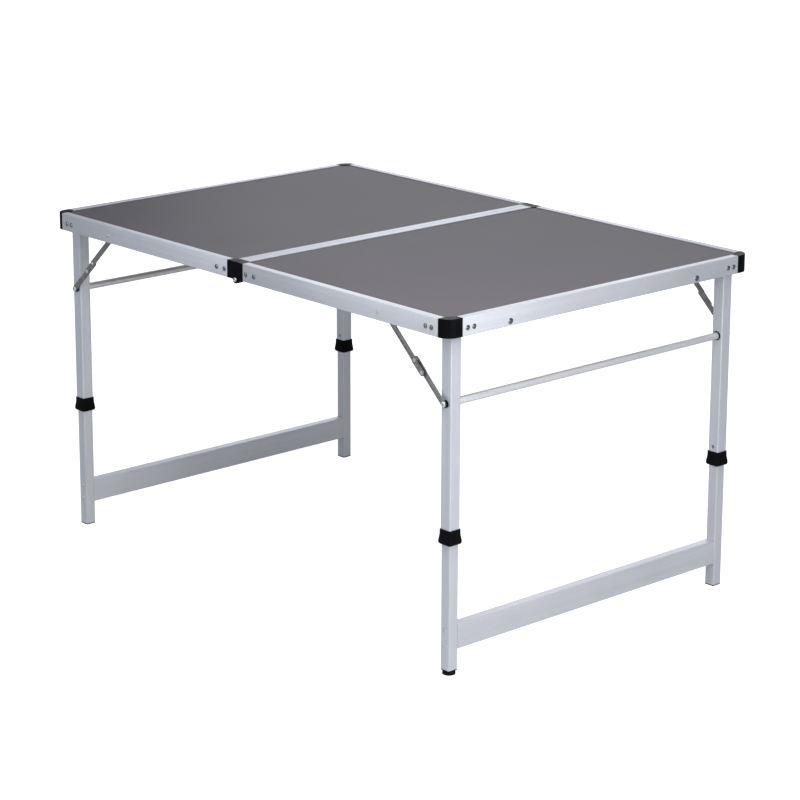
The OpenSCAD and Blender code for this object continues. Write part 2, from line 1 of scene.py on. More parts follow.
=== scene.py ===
"""Folding table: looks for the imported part. Lengths below are in millimetres, made metres in piece()."""

import json
import math

import bpy
import numpy as np
from mathutils import Matrix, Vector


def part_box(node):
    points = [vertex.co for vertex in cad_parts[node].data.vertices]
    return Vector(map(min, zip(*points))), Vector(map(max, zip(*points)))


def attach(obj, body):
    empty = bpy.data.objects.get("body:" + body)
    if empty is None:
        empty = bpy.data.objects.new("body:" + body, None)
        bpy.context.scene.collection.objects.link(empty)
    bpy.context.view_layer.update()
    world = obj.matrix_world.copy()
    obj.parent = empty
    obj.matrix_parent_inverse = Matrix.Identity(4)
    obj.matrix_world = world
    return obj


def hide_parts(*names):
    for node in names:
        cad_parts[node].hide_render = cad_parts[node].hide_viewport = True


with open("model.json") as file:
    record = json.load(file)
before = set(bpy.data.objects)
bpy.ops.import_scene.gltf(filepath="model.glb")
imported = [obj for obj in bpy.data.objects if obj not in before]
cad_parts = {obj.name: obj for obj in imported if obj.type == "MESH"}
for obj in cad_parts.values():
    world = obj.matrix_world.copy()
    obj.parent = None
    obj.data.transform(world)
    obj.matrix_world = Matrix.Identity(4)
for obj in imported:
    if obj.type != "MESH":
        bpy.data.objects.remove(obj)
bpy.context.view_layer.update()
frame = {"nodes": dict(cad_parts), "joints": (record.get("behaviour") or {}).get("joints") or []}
MM = 0.001
JOINTS = {j["name"]: j for j in frame["joints"]}


def box(node):
    """Lowest and highest corner of a CAD node, in millimetres."""
    lo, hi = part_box(node)
    return np.array(lo) / MM, np.array(hi) / MM


# ---- camera, light and floor ------------------------------------------------

def make_camera():
    """Camera turned by azimuth and pitch; right, up and back are its axes, with a small roll."""
    az, pitch, roll = math.radians(48.187), math.radians(14.552), math.radians(0.202)
    ahead = np.array([-math.sin(az) * math.cos(pitch), math.cos(az) * math.cos(pitch), -math.sin(pitch)])
    right = np.array([math.cos(az), math.sin(az), 0.0])
    up = np.cross(right, ahead)
    r = right * math.cos(roll) + up * math.sin(roll)
    u = up * math.cos(roll) - right * math.sin(roll)
    m = np.eye(4)
    m[:3, 0], m[:3, 1], m[:3, 2], m[:3, 3] = r, u, -ahead, (3.927659, -3.48916, 1.860356)
    data = bpy.data.cameras.new("camera")
    data.lens, data.sensor_width, data.shift_x, data.shift_y = 120.67, 36.0, 0.0, -0.1
    data.clip_start, data.clip_end = 0.05, 60.0
    camera = bpy.data.objects.new("camera", data)
    camera.matrix_world = Matrix(m.tolist())
    bpy.context.scene.collection.objects.link(camera)
    bpy.context.scene.camera = camera


def soft_box(name, place, target, size, power, colour=(1.0, 1.0, 1.0)):
    """Area light at place, facing target."""
    data = bpy.data.lights.new(name, "AREA")
    data.shape, data.size, data.size_y = "RECTANGLE", size[0], size[1]
    data.energy, data.color = power, colour
    lamp = bpy.data.objects.new(name, data)
    z = np.array(place, float) - np.array(target, float)
    z /= np.linalg.norm(z)
    x = np.cross([0.0, 0.0, 1.0], z)
    x /= np.linalg.norm(x)
    m = np.eye(4)
    m[:3, 0], m[:3, 1], m[:3, 2], m[:3, 3] = x, np.cross(z, x), z, place
    lamp.matrix_world = Matrix(m.tolist())
    bpy.context.scene.collection.objects.link(lamp)


def make_studio():
    """White surround, a pale floor and five soft boxes."""
    scene = bpy.context.scene
    scene.view_settings.view_transform = "Standard"
    world = bpy.data.worlds.new("studio")
    world.use_nodes = True
    tree = world.node_tree
    back = tree.nodes["Background"]
    seen = tree.nodes.new("ShaderNodeBackground")
    path = tree.nodes.new("ShaderNodeLightPath")
    mix = tree.nodes.new("ShaderNodeMixShader")
    back.inputs["Strength"].default_value = 1.0
    sky = tree.nodes.new("ShaderNodeTexCoord")
    split = tree.nodes.new("ShaderNodeSeparateXYZ")
    ramp = tree.nodes.new("ShaderNodeValToRGB")
    stops = ((0.0, (0.27, 0.28, 0.32)), (0.25, (0.36, 0.375, 0.42)), (0.7, (0.4, 0.405, 0.44)))
    for i, (place, tone) in enumerate(stops):
        stop = ramp.color_ramp.elements[i] if i < 2 else ramp.color_ramp.elements.new(place)
        stop.position, stop.color = place, (*tone, 1.0)
    tree.links.new(sky.outputs["Generated"], split.inputs[0])
    tree.links.new(split.outputs["Z"], ramp.inputs["Fac"])
    tree.links.new(ramp.outputs["Color"], back.inputs["Color"])
    seen.inputs["Strength"].default_value = 1.0
    seen.inputs["Color"].default_value = (1.0, 1.0, 1.0, 1.0)
    tree.links.new(path.outputs["Is Camera Ray"], mix.inputs["Fac"])
    tree.links.new(back.outputs[0], mix.inputs[1])
    tree.links.new(seen.outputs[0], mix.inputs[2])
    tree.links.new(mix.outputs[0], tree.nodes["World Output"].inputs["Surface"])
    scene.world = world
    soft_box("key_light", (1.5, -0.75, 1.25), (0.6, -0.36, 0.7), (0.5, 0.5), 11.0, (1.0, 0.99, 0.975))
    soft_box("top_light", (0.9, -0.8, 1.9), (0.45, -0.35, 0.68), (1.0, 1.0), 17.0)
    soft_box("side_light", (3.4, -0.3, 0.7), (0.0, 0.0, 0.5), (1.8, 1.2), 26.0, (0.97, 0.98, 1.0))
    soft_box("fill_light", (-1.6, -3.2, 1.0), (-0.2, 0.0, 0.4), (2.2, 1.2), 17.0, (0.86, 0.93, 1.0))
    soft_box("back_light", (-2.6, 2.8, 1.8), (0.0, 0.0, 0.5), (2.4, 1.6), 24.0, (0.96, 0.98, 1.0))
    half, low = 9.0, -0.0002
    corners = [(-half, -half, low), (half, -half, low), (half, half, low), (-half, half, low)]
    mesh = bpy.data.meshes.new("floor")
    mesh.from_pydata(corners, [], [(0, 1, 2, 3)])
    floor = bpy.data.objects.new("floor", mesh)
    scene.collection.objects.link(floor)
    paper = bpy.data.materials.new("floor_paper")
    paper.use_nodes = True
    shader = paper.node_tree.nodes["Principled BSDF"]
    shader.inputs["Base Color"].default_value = (0.6, 0.6, 0.6, 1.0)
    shader.inputs["Roughness"].default_value = 0.9
    tree = paper.node_tree
    glow, seen = tree.nodes.new("ShaderNodeEmission"), tree.nodes.new("ShaderNodeLightPath")
    add, lift = tree.nodes.new("ShaderNodeAddShader"), tree.nodes.new("ShaderNodeMath")
    lift.operation, lift.inputs[1].default_value = "MULTIPLY", 0.9
    tree.links.new(seen.outputs["Is Camera Ray"], lift.inputs[0])
    tree.links.new(lift.outputs[0], glow.inputs["Strength"])
    tree.links.new(shader.outputs[0], add.inputs[0])
    tree.links.new(glow.outputs[0], add.inputs[1])
    tree.links.new(add.outputs[0], tree.nodes["Material Output"].inputs["Surface"])
    mesh.materials.append(paper)


# ---- finishes ---------------------------------------------------------------

class Finish:
    """A Principled material whose colour, roughness and relief come from noise in Object coordinates."""

    def __init__(self, name, rough=0.5, metal=0.0, **sockets):
        self.mat = bpy.data.materials.new(name)
        self.mat.use_nodes = True
        self.tree = self.mat.node_tree
        self.shader = self.tree.nodes["Principled BSDF"]
        self.shader.inputs["Metallic"].default_value = metal
        self.shader.inputs["Roughness"].default_value = rough
        for k, v in sockets.items():
            self.shader.inputs[k.replace("_", " ")].default_value = v
        self.where = self.tree.nodes.new("ShaderNodeTexCoord").outputs["Object"]

    def join(self, a, b):
        self.tree.links.new(a, b)

    def stretched(self, scale):
        """Object coordinates multiplied along each axis, for streaks and grain."""
        node = self.tree.nodes.new("ShaderNodeMapping")
        node.inputs["Scale"].default_value = scale
        self.join(self.where, node.inputs["Vector"])
        return node.outputs["Vector"]

    def noise(self, scale, detail=3.0, rough=0.55, place=None, twist=0.0):
        node = self.tree.nodes.new("ShaderNodeTexNoise")
        node.inputs["Scale"].default_value = scale
        node.inputs["Detail"].default_value = detail
        node.inputs["Roughness"].default_value = rough
        node.inputs["Distortion"].default_value = twist
        self.join(place or self.where, node.inputs["Vector"])
        return node.outputs["Fac"]

    def cells(self, scale, place=None):
        node = self.tree.nodes.new("ShaderNodeTexVoronoi")
        node.inputs["Scale"].default_value = scale
        self.join(place or self.where, node.inputs["Vector"])
        return node.outputs["Distance"]

    def spread(self, fac, low, high, out_low=0.0, out_high=1.0):
        """fac from low..high carried to out_low..out_high, held at the ends."""
        node = self.tree.nodes.new("ShaderNodeMapRange")
        for key, value in (("From Min", low), ("From Max", high), ("To Min", out_low), ("To Max", out_high)):
            node.inputs[key].default_value = value
        self.join(fac, node.inputs["Value"])
        return node.outputs["Result"]

    def ramp(self, fac, *stops):
        """Colour ramp; each stop is (place, (r, g, b))."""
        node = self.tree.nodes.new("ShaderNodeValToRGB")
        elements = node.color_ramp.elements
        for i, (place, colour) in enumerate(stops):
            e = elements[i] if i < 2 else elements.new(place)
            e.position, e.color = place, (*colour, 1.0)
        self.join(fac, node.inputs["Fac"])
        return node.outputs["Color"]

    def blend(self, fac, a, b, kind="MIX"):
        """Mix of two colours by fac, which is a number or an output."""
        node = self.tree.nodes.new("ShaderNodeMix")
        node.data_type, node.blend_type = "RGBA", kind
        for key, value in ((0, fac), (6, a), (7, b)):
            if isinstance(value, (int, float)):
                node.inputs[key].default_value = value
            elif isinstance(value, tuple):
                node.inputs[key].default_value = (*value, 1.0)
            else:
                self.join(value, node.inputs[key])
        return node.outputs[2]

    def relief(self, height, depth, strength=1.0, under=None):
        """Bump of a height field; depth in metres."""
        node = self.tree.nodes.new("ShaderNodeBump")
        node.inputs["Distance"].default_value = depth
        node.inputs["Strength"].default_value = strength
        self.join(height, node.inputs["Height"])
        if under is not None:
            self.join(under, node.inputs["Normal"])
        return node.outputs["Normal"]

    def done(self, colour=None, rough=None, normal=None):
        if colour is not None:
            self.join(colour, self.shader.inputs["Base Color"])
        if rough is not None:
            self.join(rough, self.shader.inputs["Roughness"])
        if normal is not None:
            self.join(normal, self.shader.inputs["Normal"])
        return self.mat


def laminate():
    """Grey-brown decor sheet: two sizes of fine speckle on a slow cloud; pale kraft backing underneath."""
    f = Finish("grey_laminate", rough=0.5)
    f.shader.inputs["Specular IOR Level"].default_value = 0.1
    fine = f.noise(1500.0, 2.0, 0.6)
    grain = f.noise(420.0, 4.0, 0.65)
    cloud = f.noise(5.0, 3.0, 0.5)
    tone = f.ramp(grain, (0.32, (0.064, 0.058, 0.066)), (0.5, (0.08, 0.073, 0.083)),
                  (0.68, (0.098, 0.091, 0.102)))
    dots = f.ramp(fine, (0.36, (0.72, 0.71, 0.71)), (0.5, (1.0, 1.0, 1.0)), (0.66, (1.2, 1.2, 1.2)))
    tone = f.blend(0.75, tone, dots, "MULTIPLY")
    patch = f.ramp(cloud, (0.3, (0.94, 0.94, 0.95)), (0.7, (1.05, 1.04, 1.04)))
    tone = f.blend(1.0, tone, patch, "MULTIPLY")
    fibre = f.noise(260.0, 5.0, 0.7, f.stretched((0.25, 1.0, 1.0)))
    backing = f.ramp(fibre, (0.3, (0.25, 0.185, 0.125)), (0.7, (0.41, 0.32, 0.23)))
    split = f.tree.nodes.new("ShaderNodeSeparateXYZ")
    f.join(f.where.node.outputs["Normal"], split.inputs[0])
    under = f.spread(split.outputs["Z"], -0.5, -0.9)
    colour = f.blend(under, tone, backing)
    return f.done(colour, f.spread(grain, 0.3, 0.7, 0.42, 0.56), f.relief(fine, 0.00005, 0.5))


def drawn_metal(name, along, low, high, metal=0.5, rough=(0.4, 0.54), streak=0.35):
    """Drawn and anodised metal: hair-fine streaks along one axis, slow cloud, few handling marks."""
    scale = [1.0, 1.0, 1.0]
    scale[along] = 0.012
    f = Finish(name, metal=metal)
    hair = f.noise(900.0, 3.0, 0.6, f.stretched(tuple(scale)))
    broad = f.noise(160.0, 3.0, 0.6, f.stretched(tuple(scale)))
    cloud = f.noise(7.0, 4.0, 0.55)
    marks = f.noise(34.0, 6.0, 0.7, twist=1.2)
    colour = f.ramp(broad, (0.3, low), (0.7, high))
    streaks = f.ramp(hair, (0.35, (0.86, 0.87, 0.88)), (0.65, (1.12, 1.12, 1.12)))
    colour = f.blend(streak * 0.5, colour, streaks, "MULTIPLY")
    patches = f.ramp(cloud, (0.3, (0.95, 0.955, 0.965)), (0.7, (1.03, 1.03, 1.025)))
    colour = f.blend(1.0, colour, patches, "MULTIPLY")
    scuffs = f.ramp(marks, (0.62, (1.0, 1.0, 1.0)), (0.72, (0.86, 0.86, 0.85)))
    colour = f.blend(0.35, colour, scuffs, "MULTIPLY")
    surface = f.relief(hair, 0.00003, 0.35, f.relief(broad, 0.00006, 0.2))
    return f.done(colour, f.spread(hair, 0.3, 0.7, *rough), surface)


def moulded_plastic():
    """Black moulded nylon: spark-eroded grain, slow sheen patches and pale scuffs."""
    f = Finish("black_nylon", rough=0.4)
    f.shader.inputs["Specular IOR Level"].default_value = 0.03
    grain = f.noise(1900.0, 2.0, 0.6)
    cloud = f.noise(24.0, 4.0, 0.6)
    scuff = f.noise(130.0, 6.0, 0.75, twist=2.0)
    colour = f.ramp(cloud, (0.3, (0.0028, 0.0028, 0.0034)), (0.7, (0.0052, 0.0053, 0.0062)))
    colour = f.blend(f.spread(scuff, 0.66, 0.78, 0.0, 0.5), colour, (0.06, 0.06, 0.063))
    return f.done(colour, f.spread(cloud, 0.3, 0.7, 0.32, 0.46), f.relief(grain, 0.00005, 0.55))


def rubber():
    """Black rubber: matt, fine pits and grey dust."""
    f = Finish("black_rubber", rough=0.62)
    f.shader.inputs["Specular IOR Level"].default_value = 0.06
    pits = f.cells(700.0)
    dust = f.noise(60.0, 5.0, 0.65)
    colour = f.ramp(dust, (0.35, (0.004, 0.004, 0.005)), (0.75, (0.012, 0.012, 0.012)))
    return f.done(colour, f.spread(dust, 0.3, 0.7, 0.5, 0.74), f.relief(pits, 0.00006, 0.5))


def plated_steel(name, low, high, rough=(0.2, 0.36), spangle=500.0):
    """Zinc-plated or polished steel: soft crystal pattern, stain clouds and fine pits."""
    f = Finish(name, metal=1.0)
    crystal = f.cells(spangle)
    stain = f.noise(90.0, 5.0, 0.6, twist=0.8)
    fine = f.noise(2400.0, 2.0, 0.5)
    colour = f.ramp(stain, (0.3, low), (0.68, high))
    facets = f.ramp(crystal, (0.1, (0.9, 0.9, 0.91)), (0.6, (1.05, 1.05, 1.05)))
    colour = f.blend(0.5, colour, facets, "MULTIPLY")
    return f.done(colour, f.spread(stain, 0.3, 0.7, *rough), f.relief(fine, 0.00003, 0.4))


def brace_steel():
    """Tumbled steel strip, grey and dull, darker in stains, rubbed bright in patches."""
    f = Finish("tumbled_steel", metal=0.85)
    stain = f.noise(70.0, 6.0, 0.65, twist=0.6)
    rub = f.noise(28.0, 5.0, 0.7)
    fine = f.noise(1300.0, 3.0, 0.6)
    colour = f.ramp(stain, (0.3, (0.17, 0.166, 0.166)), (0.55, (0.28, 0.274, 0.272)),
                    (0.75, (0.37, 0.364, 0.36)))
    colour = f.blend(f.spread(rub, 0.56, 0.72, 0.0, 0.5), colour, (0.47, 0.465, 0.46))
    return f.done(colour, f.spread(stain, 0.3, 0.7, 0.34, 0.55), f.relief(fine, 0.00005, 0.5))


# ---- surfaces ---------------------------------------------------------------

def quads(m, n, close_m=False, close_n=True):
    """Faces of an m by n grid of points, joined round in either direction."""
    i, j = np.meshgrid(np.arange(m if close_m else m - 1), np.arange(n if close_n else n - 1), indexing="ij")
    k, l = (i + 1) % m, (j + 1) % n
    return np.stack([i * n + j, k * n + j, k * n + l, i * n + l], -1).reshape(-1, 4)


def outward(points, faces):
    """Turns a closed shell round if the sum of p0.(p1 x p2) over its triangles is negative."""
    total = 0.0
    for f in faces:
        p = points[f]
        for a in range(1, f.shape[1] - 1):
            total += np.einsum("ij,ij->", p[:, 0], np.cross(p[:, a], p[:, a + 1]))
    return faces if total > 0 else [f[:, ::-1] for f in faces]


def loft(rings):
    """Closed shell through rings of n points each, with a flat cap at each end. rings is (m, n, 3)."""
    rings = np.asarray(rings, float)
    m, n = rings.shape[:2]
    points = rings.reshape(-1, 3)
    faces = [quads(m, n), np.arange(n)[::-1][None], (np.arange(n) + (m - 1) * n)[None]]
    return points, outward(points, faces)


def ring_shell(rings):
    """Closed shell like a ring: the last ring of points joins the first. rings is (m, n, 3)."""
    rings = np.asarray(rings, float)
    points = rings.reshape(-1, 3)
    return points, outward(points, [quads(rings.shape[0], rings.shape[1], True)])


def fillet(corners, radius, k=4):
    """Closed outline with each corner P rounded: (1-t)^2 A + 2t(1-t) P + t^2 B, A and B one radius from P."""
    p = np.asarray(corners, float)
    r = np.broadcast_to(np.asarray(radius, float), len(p))[:, None]
    to_a, to_b = np.roll(p, 1, 0) - p, np.roll(p, -1, 0) - p
    la, lb = np.linalg.norm(to_a, axis=1)[:, None], np.linalg.norm(to_b, axis=1)[:, None]
    a, b = p + to_a / la * np.minimum(r, la * 0.48), p + to_b / lb * np.minimum(r, lb * 0.48)
    t = np.linspace(0, 1, k + 1)[None, :, None]
    return ((1 - t) ** 2 * a[:, None] + 2 * t * (1 - t) * p[:, None] + t ** 2 * b[:, None]).reshape(-1, 2)


def inset(outline, d):
    """Outline moved inwards by d: each point along n1 + n2 of its two edges, divided by 1 + n1.n2."""
    p = np.asarray(outline, float)
    area = np.sum(p[:, 0] * np.roll(p[:, 1], -1) - p[:, 1] * np.roll(p[:, 0], -1))
    edge = np.roll(p, -1, 0) - p
    edge /= np.maximum(np.linalg.norm(edge, axis=1), 1e-9)[:, None]
    normal = np.stack([-edge[:, 1], edge[:, 0]], 1) * (1.0 if area > 0 else -1.0)
    other = np.roll(normal, 1, 0)
    return p + d * (normal + other) / np.maximum(1 + np.sum(normal * other, 1), 0.25)[:, None]


def slab(outline, z0, z1, low=0.4, high=0.4, k=4):
    """Outline carried from z0 to z1.

    Its edges are rounded by radius low and high: inset r(1 - sin a), rise r(1 - cos a).
    """
    rings = []
    a = np.linspace(0, math.pi / 2, k + 1)
    for r, z, up in ((low, z0, 1), (high, z1, -1)):
        steps = [(r * (1 - math.sin(x)), z + up * r * (1 - math.cos(x))) for x in a] if r else [(0.0, z)]
        part = [np.column_stack([inset(outline, d), np.full(len(outline), h)]) for d, h in steps]
        rings += part if up == 1 else part[::-1]
    return loft(rings)


def placed(shell, origin=(0, 0, 0), u=(1, 0, 0), v=(0, 1, 0), w=(0, 0, 1)):
    """Shell carried from its own axes to origin + x u + y v + z w."""
    points, faces = shell
    points = np.asarray(origin, float) + points @ np.array([u, v, w], float)
    return points, outward(points, faces)


def turned(profile, origin, axis=(0, 0, 1), n=40, hollow=False, shape=None):
    """Turned shell: origin + r cos(a) p + r sin(a) q + h axis for each (r, h) of the profile.

    A hollow shell joins the profile's ends; a shape function may change r and h by the angle.
    """
    prof = np.asarray(profile, float)
    axis = np.asarray(axis, float)
    p = np.cross(axis, [0.0, 0.0, 1.0] if abs(axis[2]) < 0.9 else [0.0, 1.0, 0.0])
    p /= np.linalg.norm(p)
    q = np.cross(axis, p)
    a = np.linspace(0, 2 * math.pi, n, endpoint=False)
    r, h = prof[:, :1] + 0 * a, prof[:, 1:] + 0 * a
    if shape is not None:
        r, h = shape(r, h, a + 0 * r)
    points = np.asarray(origin, float) + (r * np.cos(a))[..., None] * p
    points = points + (r * np.sin(a))[..., None] * q + h[..., None] * axis
    return ring_shell(points) if hollow else loft(points)


def round_square(w, h, r, k=6):
    """Closed outline of a w by h rectangle whose corners are quarter circles of radius r."""
    a = np.linspace(0, math.pi / 2, k + 1)[None] + np.arange(4)[:, None] * math.pi / 2
    sx, sy = np.array([1, -1, -1, 1])[:, None], np.array([1, 1, -1, -1])[:, None]
    return np.stack([sx * (w / 2 - r) + r * np.cos(a), sy * (h / 2 - r) + r * np.sin(a)], -1).reshape(-1, 2)


def at_height(outline, z, centre=(0, 0)):
    return np.column_stack([outline[:, 0] + centre[0], outline[:, 1] + centre[1], np.full(len(outline), z)])


def mirrored(shell, sx=1, sy=1):
    points, faces = shell
    points = points * np.array([sx, sy, 1.0])
    return points, outward(points, faces)


def both_sides(shells):
    """The shells and their mirror images across the XZ plane."""
    return shells + [mirrored(s, 1, -1) for s in shells]


def piece(name, shells, body, material, nodes=None, sharp=38.0):
    """Joins closed shells into one mesh that rides on body and stands for its CAD node."""
    points, faces, base = [], [], 0
    for p, fs in shells:
        points.append(p)
        faces += [f.tolist() for f in (g + base for g in fs)]
        base += len(p)
    mesh = bpy.data.meshes.new(name)
    mesh.from_pydata((np.concatenate(points) * MM).tolist(), [], [f for group in faces for f in group])
    mesh.polygons.foreach_set("use_smooth", np.ones(len(mesh.polygons), bool))
    mesh.set_sharp_from_angle(angle=math.radians(sharp))
    mesh.materials.append(material)
    mesh.update()
    obj = bpy.data.objects.new(name, mesh)
    bpy.context.scene.collection.objects.link(obj)
    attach(obj, body)
    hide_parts(*(nodes or [name.replace("_look", "")]))


# ---- sizes ------------------------------------------------------------------

panel_hi = box("right_panel")[1]
rail_lo, rail_hi = box("right_front_rail")
cap_lo, cap_hi = box("right_corner_caps")
leaf_hi = box("right_hinge_leaves")[1]
HL, HW = cap_hi[0], cap_hi[1]
TOP, RAIL_Z = rail_hi[2], rail_lo[2]
RAIL_H, LIP_W, LIP_T, PANEL_T = TOP - RAIL_Z, rail_hi[1] - rail_lo[1], TOP - panel_hi[2], 4.0
RAIL_T, LEDGE_W, LEDGE_T, RETURN_W, SEAM = 1.6, 8.0, 1.2, 6.0, 1.0
CAP_L, LEAF_L = HL - rail_hi[0], rail_lo[0]
CAP_END_L = HW - box("right_end_rail")[1][1]
CORNER_R, BLOCK_Y, KNUCKLE_Y, GAP = 25.0, 23.0, 9.0, 0.2
AXIS_Z = JOINTS["centre_fold"]["pos_m"][2] / MM
LEG_X, PIVOT_Z = JOINTS["right_leg_fold"]["pos_m"][0] / MM, JOINTS["right_leg_fold"]["pos_m"][2] / MM
BRACE_X = JOINTS["right_brace_upper_turn"]["pos_m"][0] / MM
BAR_Z = JOINTS["right_brace_lower_turn"]["pos_m"][2] / MM
col_lo, col_hi = box("right_collars")
LEG_Y = col_hi[1] - (col_hi[0] - col_lo[0]) / 2
UPPER_W = box("right_front_upper_tube")[1][0] - box("right_front_upper_tube")[0][0]
LOWER_W = box("right_front_lower_tube")[1][0] - box("right_front_lower_tube")[0][0]


# ---- tabletop frame ---------------------------------------------------------

def rail_section():
    """Outline of a rail: web, lip over the panel, ledge under it, turned-in bottom edge, corners rounded."""
    slot_low = RAIL_H - LIP_T - PANEL_T
    corners = [(0, 0), (RETURN_W, 0), (RETURN_W, RAIL_T), (RAIL_T, RAIL_T), (RAIL_T, slot_low - LEDGE_T),
               (LEDGE_W, slot_low - LEDGE_T), (LEDGE_W, slot_low), (RAIL_T, slot_low),
               (RAIL_T, RAIL_H - LIP_T), (LIP_W, RAIL_H - LIP_T), (LIP_W, RAIL_H), (0, RAIL_H)]
    return fillet(corners, [1.1, 0.7, 0.6, 0.9, 0.6, 0.5, 0.5, 0.15, 0.15, 0.25, 0.7, 1.3], 5)


def rail(start, length, along, inward):
    """Rail section carried along its run; the ends are broken by 0.2 mm."""
    return placed(slab(rail_section()[::-1], 0.0, length, 0.2, 0.2, 2), start, inward, (0, 0, 1), along)


def corner_outline(d=0.0, k=20):
    """Outer line of a corner cap: straight, a quarter circle of radius 25, straight. d moves it inwards."""
    a = np.linspace(-math.pi / 2, 0, k + 1)
    c = np.array([HL - CORNER_R, -HW + CORNER_R])
    arc = c + (CORNER_R - d) * np.stack([np.cos(a), np.sin(a)], 1)
    return np.vstack([[HL - CAP_L, -HW + d], arc, [HL - d, -HW + CAP_END_L]])


def corner_cap():
    """Cap: a flange with a diagonal inner edge, and a wall with a foot flange carried round the corner."""
    plan = np.vstack([corner_outline(), [[HL - LIP_W, -HW + CAP_END_L], [HL - CAP_L, -HW + LIP_W]]])
    foot_w = 8.6
    rim = np.vstack([corner_outline(), [[HL - foot_w, -HW + CAP_END_L], [HL - CAP_L, -HW + foot_w]]])
    top = slab(plan, TOP - LIP_T, TOP, 0.0, 0.9, 5)
    base = slab(rim, RAIL_Z, RAIL_Z + 2.0, 0.8, 0.0, 4)
    h = TOP - LIP_T
    t, low = 2.4, RAIL_Z + 2.0
    wall_plan = [(0, low), (t + 0.8, low), (t, low + 4.0), (t, h - 5.6), (t, h), (0, h)]
    section = fillet(wall_plan, [0, 0, 1, 0, 0, 0], 3)
    path, inner = corner_outline(), corner_outline(1.0)
    wall = np.concatenate([path[:, None] + (inner - path)[:, None] * section[None, :, :1],
                           np.broadcast_to(section[None, :, 1:], (len(path), len(section), 1))], 2)
    lip = 5.0
    y0, z0, z1 = -HW + RAIL_T + GAP, RAIL_Z + RAIL_T + GAP, TOP - LIP_T - PANEL_T - LEDGE_T - GAP
    rect = lambda a, b, c, d: fillet([(a, b), (c, b), (c, d), (a, d)], 0.6, 3)
    tongue_x = slab(rect(cap_lo[0], y0, HL - CAP_L + 1, -HW + RAIL_T + lip), z0, z1, 0.5, 0.5, 3)
    end = rect(LEG_X + 22.0, -HW + CAP_END_L - 1, HL - RAIL_T - GAP, -HW + CAP_END_L + 34)
    tongue_y = slab(end, z0, z1, 0.5, 0.5, 3)
    return [top, base, loft(wall), tongue_x, tongue_y]


def leaf_ring(y, notch, k=10):
    """Section of a leaf's block at depth y: square, or hollowed by a circle for the other leaf's knuckle."""
    far = LEAF_L if y <= LIP_W else LEAF_L + (LIP_W - LEAF_L) * (y - LIP_W) / (BLOCK_Y - LIP_W)
    r, x0, top = 7.8, SEAM / 2, TOP - LIP_T - PANEL_T - GAP
    drop = AXIS_Z - RAIL_Z
    if notch:
        a = np.linspace(math.acos(x0 / r), math.asin(-drop / r), k)
        arc = np.stack([r * np.cos(a), AXIS_Z + r * np.sin(a)], 1)
    else:
        arc = np.stack([np.linspace(x0, r, k), np.full(k, RAIL_Z)], 1)
    edge = 0.7
    rest = np.array([[far - edge, RAIL_Z], [far, RAIL_Z + edge], [far, top], [x0, top]])
    ring = np.vstack([arc, rest])
    return np.stack([ring[:, 0], np.full(len(ring), -HW + y), ring[:, 1]], 1)


def hinge_leaf(outer):
    """Block with a flange over the panel's corner and a bored knuckle; the outer leaf has a web to it."""
    other = (KNUCKLE_Y, BLOCK_Y) if outer else (0.0, KNUCKLE_Y + GAP)
    stops = sorted({0.0, KNUCKLE_Y if outer else KNUCKLE_Y + GAP, LIP_W, BLOCK_Y})
    rings = []
    for a, b in zip(stops[:-1], stops[1:]):
        cut = a >= other[0] and b <= other[1] + 1e-6
        rings += [leaf_ring(a, cut), leaf_ring(b, cut)]
    plan = np.array([[SEAM / 2, -HW], [LEAF_L, -HW], [LEAF_L, -HW + LIP_W], [LIP_W, -HW + BLOCK_Y],
                     [SEAM / 2, -HW + BLOCK_Y]])
    low = TOP - LIP_T - PANEL_T - GAP
    rim = np.array([[SEAM / 2, -HW], [LEAF_L, -HW], [LEAF_L, -HW + RAIL_T], [LIP_W + 6.5, -HW + RAIL_T],
                    [RAIL_T + 0.1, -HW + LIP_W + 6.5], [RAIL_T, -HW + BLOCK_Y], [SEAM / 2, -HW + BLOCK_Y]])
    flange = slab(fillet(plan, 0.5, 2), TOP - LIP_T, TOP, 0.0, 0.7, 4)
    shells = [loft(rings), slab(rim, low, TOP - LIP_T, 0.0, 0.0), flange]
    y0 = -HW - 0.15 if outer else -HW + KNUCKLE_Y + GAP
    y1 = -HW + KNUCKLE_Y if outer else -HW + 2 * KNUCKLE_Y + GAP
    r, bore, e = 7.5, 2.55, 0.7
    a = np.linspace(0, math.pi / 2, 5)
    rim_in = [(r - e * (1 - math.sin(x)), e * (1 - math.cos(x))) for x in a]
    rim_out = [(x, y1 - y0 - y) for x, y in rim_in[::-1]]
    knuckle = [(bore, 0.0)] + rim_in + rim_out + [(bore, y1 - y0)]
    shells.append(turned(knuckle, (0, y0, AXIS_Z), (0, 1, 0), 48, True))
    if outer:
        far = LEAF_L - 0.5
        web = [(0.3, AXIS_Z - r + 0.05), (r * 0.5, AXIS_Z - r + 0.3), (far, RAIL_Z - 0.3),
               (far, RAIL_Z + 1), (3, RAIL_Z + 1)]
        shells.append(placed(slab(fillet(web, [0.2, 2.0, 0.5, 0.2, 0.2], 3), 0.0, y1 + HW - 0.3, 0.4, 0.4, 3),
                             (0, -HW + 0.1, 0), (1, 0, 0), (0, 0, 1), (0, 1, 0)))
    near, tip, y2, y3 = LEAF_L - 1, leaf_hi[0], -HW + RAIL_T + GAP, -HW + RAIL_T + 5
    tongue = fillet([(near, y2), (tip, y2), (tip, y3), (near, y3)], 0.6, 3)
    shells.append(slab(tongue, RAIL_Z + RAIL_T + GAP, low - LEDGE_T, 0.5, 0.5, 3))
    return shells


